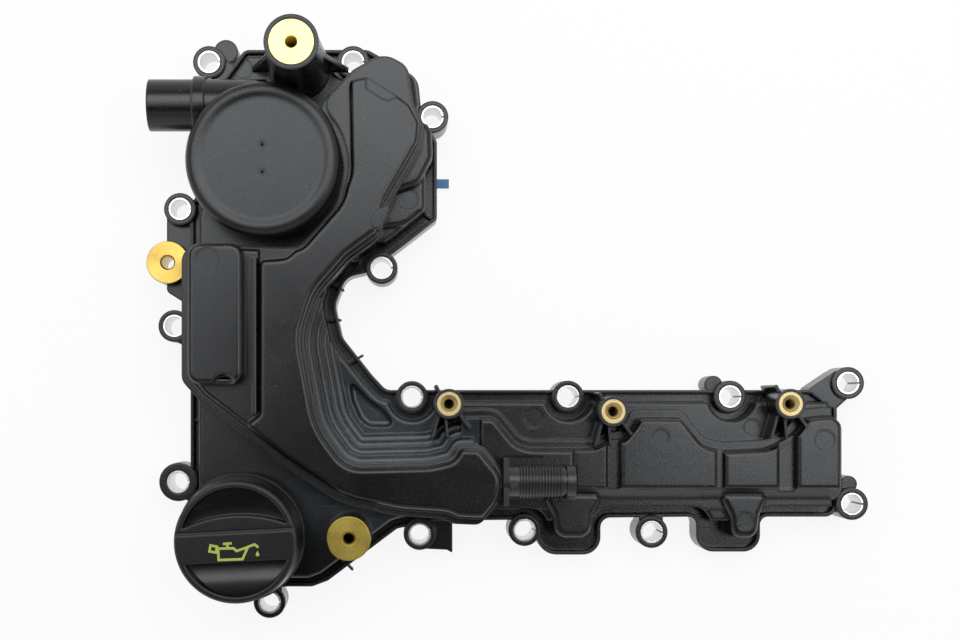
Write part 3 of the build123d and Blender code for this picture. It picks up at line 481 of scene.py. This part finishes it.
workingPieces = {
    "pcv_spring": {"name": "working_spring", "heldAtTop": False, "slot": "spring_steel"},
    "pcv_diaphragm": {"name": "working_diaphragm", "heldAtTop": True, "slot": "rubber"},
}


def buildWorkingPieces():
    for nodeName, part in workingPieces.items():
        piece = bpy.data.objects.new(part["name"], nodes[nodeName].data.copy())
        bpy.context.scene.collection.objects.link(piece)
        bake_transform(piece)
        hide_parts(nodeName)


buildWorkingPieces()


# Oil can symbol printed on the grip of the filler cap, in mm from the middle of the cap

symbol = {
    "width": 1.15, "thickness": 0.06, "step": 0.012, "sunk": 0.02, "mitreLimit": 0.35,
    "strokes": [
        ([(-11.4, -1.4), (-8.4, -2.0), (-8.9, -4.7), (-11.9, -4.2)], True),
        ([(-7.9, -2.9), (-0.7, -2.7), (0.7, -4.0), (6.0, -2.2), (3.5, -7.8), (-7.6, -8.2)], True),
        ([(5.0, -2.5), (9.1, -0.9), (10.9, -2.3)], False),
        ([(-3.5, -2.9), (-3.6, -0.6)], False),
        ([(-5.6, -0.7), (-1.5, -0.4)], False),
    ],
    "drop": {"place": (10.5, -5.6), "radius": 0.85, "tip": 2.2, "tipPower": 4, "narrowing": 0.55,
             "narrowPower": 2, "steps": 20},
}


def ribbon(mesh, points, closed, width, low, high):
    sides = []
    count = len(points)
    for i, point in enumerate(points):
        back = points[i - 1] if closed or i > 0 else None
        ahead = points[(i + 1) % count] if closed or i < count - 1 else None
        into = (point - back).normalized() if back is not None else (ahead - point).normalized()
        out = (ahead - point).normalized() if ahead is not None else into
        bisector = (into + out).normalized()
        normal = Vector((-bisector.y, bisector.x))
        reach = width / 2 / max(symbol["mitreLimit"], normal.dot(Vector((-into.y, into.x))))
        edges = [point + normal * reach, point - normal * reach]
        sides.append([mesh.verts.new((*place, z)) for place in edges for z in (low, high)])
    spans = count if closed else count - 1
    for i in range(spans):
        a, b = sides[i], sides[(i + 1) % count]
        mesh.faces.new((a[1], a[3], b[3], b[1]))
        mesh.faces.new((a[0], b[0], b[2], a[2]))
        mesh.faces.new((a[0], a[1], b[1], b[0]))
        mesh.faces.new((a[3], a[2], b[2], b[3]))
    if not closed:
        for end in (sides[0], sides[-1]):
            mesh.faces.new((end[0], end[1], end[3], end[2]))


def dropFace(mesh, drop, centre, low, high):
    outline = []
    for step in range(drop["steps"]):
        angle = 2 * math.pi * step / drop["steps"]
        upward = max(0.0, math.cos(angle))
        stretch = 1 + (drop["tip"] - 1) * upward ** drop["tipPower"]
        narrow = 1 - drop["narrowing"] * upward ** drop["narrowPower"]
        x = drop["place"][0] + drop["radius"] * math.sin(angle) * narrow
        y = drop["place"][1] + drop["radius"] * math.cos(angle) * stretch
        outline.append(centre + Vector((x, y)) * mm)
    lower = [mesh.verts.new((*point, low)) for point in outline]
    upper = [mesh.verts.new((*point, high)) for point in outline]
    mesh.faces.new(upper)
    mesh.faces.new(lower[::-1])
    for i in range(len(outline)):
        j = (i + 1) % len(outline)
        mesh.faces.new((lower[i], lower[j], upper[j], upper[i]))


def buildSymbol():
    low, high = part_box("filler_cap")
    centre = Vector(((low.x + high.x) / 2, (low.y + high.y) / 2))
    bottom = high.z - symbol["sunk"] * mm
    top = high.z + symbol["thickness"] * mm
    mesh = bmesh.new()
    for layer, (points, closed) in enumerate(symbol["strokes"]):  # crossing strokes lie one on the other
        placed = [centre + Vector(point) * mm for point in points]
        ribbon(mesh, placed, closed, symbol["width"] * mm, bottom, top + layer * symbol["step"] * mm)
    dropFace(mesh, symbol["drop"], centre, bottom, top)
    bmesh.ops.recalc_face_normals(mesh, faces=mesh.faces)
    data = bpy.data.meshes.new("oil_can_symbol")
    mesh.to_mesh(data)
    mesh.free()
    piece = bpy.data.objects.new("oil_can_symbol", data)
    bpy.context.scene.collection.objects.link(piece)
    setMaterial(piece, made["symbolPaint"])
    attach(piece, "filler_cap")


buildSymbol()
print("stage: symbol printed")


# Floor, light and camera

setting = {
    "floorSize": 60.0, "floorZ": -0.0012, "floorShade": 0.92, "shadowKept": 0.12,
    "overheadStrength": 0.03, "horizonStrength": 0.85, "bandTop": 0.75, "bandFade": 0.4,
    "cameraPlace": (-0.004, -0.0015, 0.760), "lens": 55.5, "sensor": 36.0, "shift": (76 / 960, 80 / 960),
    "panelHeight": 1.2, "lampColour": (0.95, 0.975, 1.0),
}
panels = {  # soft panels round the camera: x from, to, y from, to in metres, and brightness
    "backPanel": (-0.75, 0.75, 0.21, 1.0, 3.6),
    "rightPanel": (0.28, 1.0, -0.15, 0.2, 3.8),
    "leftPanel": (-1.0, -0.25, -0.08, 0.2, 2.3),
    "frontPanel": (-0.6, 0.6, -1.2, -0.75, 0.7),
}


def buildFloor():
    bpy.ops.mesh.primitive_plane_add(size=setting["floorSize"], location=(0, 0, setting["floorZ"]))
    floor = bpy.context.object
    floor.name = "floor"
    material = bpy.data.materials.new("paleFloor")
    material.use_nodes = True
    tree = material.node_tree
    tree.nodes.clear()
    matte = addNode(tree, "ShaderNodeBsdfDiffuse", Color=(*[setting["floorShade"]] * 3, 1.0))
    white = addNode(tree, "ShaderNodeEmission", Strength=1.0)
    seen = tree.nodes.new("ShaderNodeLightPath")
    mix = tree.nodes.new("ShaderNodeMixShader")
    end = tree.nodes.new("ShaderNodeOutputMaterial")
    direct = mathNode(tree, "ADD", seen.outputs["Is Camera Ray"], seen.outputs["Is Transmission Ray"])
    anyView = mathNode(tree, "MINIMUM", mathNode(tree, "ADD", direct, seen.outputs["Is Glossy Ray"]), 1.0)
    tree.links.new(mathNode(tree, "MULTIPLY", anyView, 1.0 - setting["shadowKept"]), mix.inputs[0])
    tree.links.new(matte.outputs[0], mix.inputs[1])
    tree.links.new(white.outputs[0], mix.inputs[2])
    tree.links.new(mix.outputs[0], end.inputs["Surface"])
    floor.data.materials.append(material)


def buildWorld():
    world = bpy.data.worlds.new("softTent")
    bpy.context.scene.world = world
    world.use_nodes = True
    tree = world.node_tree
    tree.nodes.clear()
    seen = tree.nodes.new("ShaderNodeLightPath")
    place = tree.nodes.new("ShaderNodeTexCoord").outputs["Generated"]
    split = tree.nodes.new("ShaderNodeSeparateXYZ")
    tree.links.new(place, split.inputs[0])
    upward = mathNode(tree, "ABSOLUTE", split.outputs["Z"])
    below = mathNode(tree, "SUBTRACT", setting["bandTop"], upward)
    faded = mathNode(tree, "DIVIDE", below, setting["bandFade"])
    band = mathNode(tree, "MAXIMUM", mathNode(tree, "MINIMUM", faded, 1.0), 0.0)
    extra = setting["horizonStrength"] - setting["overheadStrength"]
    strength = mathNode(tree, "ADD", mathNode(tree, "MULTIPLY", band, extra), setting["overheadStrength"])
    tent = addNode(tree, "ShaderNodeBackground", Color=(1.0, 1.0, 1.0, 1.0))
    tree.links.new(strength, tent.inputs["Strength"])
    backdrop = addNode(tree, "ShaderNodeBackground", Color=(1.0, 1.0, 1.0, 1.0), Strength=1.0)
    mix = tree.nodes.new("ShaderNodeMixShader")
    end = tree.nodes.new("ShaderNodeOutputWorld")
    tree.links.new(seen.outputs["Is Camera Ray"], mix.inputs[0])
    tree.links.new(tent.outputs[0], mix.inputs[1])
    tree.links.new(backdrop.outputs[0], mix.inputs[2])
    tree.links.new(mix.outputs[0], end.inputs["Surface"])


def addPanel(name, left, right, front, back, brightness):
    data = bpy.data.lights.new(name, "AREA")
    data.shape = "RECTANGLE"
    data.size = right - left
    data.size_y = back - front
    data.energy = brightness * math.pi * data.size * data.size_y
    data.color = setting["lampColour"]
    lamp = bpy.data.objects.new(name, data)
    bpy.context.scene.collection.objects.link(lamp)
    lamp.location = ((left + right) / 2, (front + back) / 2, setting["panelHeight"])
    lamp.visible_camera = False


def buildCamera():
    data = bpy.data.cameras.new("photoView")
    data.lens = setting["lens"]
    data.sensor_width = setting["sensor"]
    data.shift_x, data.shift_y = setting["shift"]
    camera = bpy.data.objects.new("photoView", data)
    bpy.context.scene.collection.objects.link(camera)
    camera.location = setting["cameraPlace"]
    bpy.context.scene.camera = camera


buildFloor()
buildWorld()
for panelName, panel in panels.items():
    addPanel(panelName, *panel)
buildCamera()
bpy.context.scene.view_settings.view_transform = "Standard"
print("stage: light and camera set")
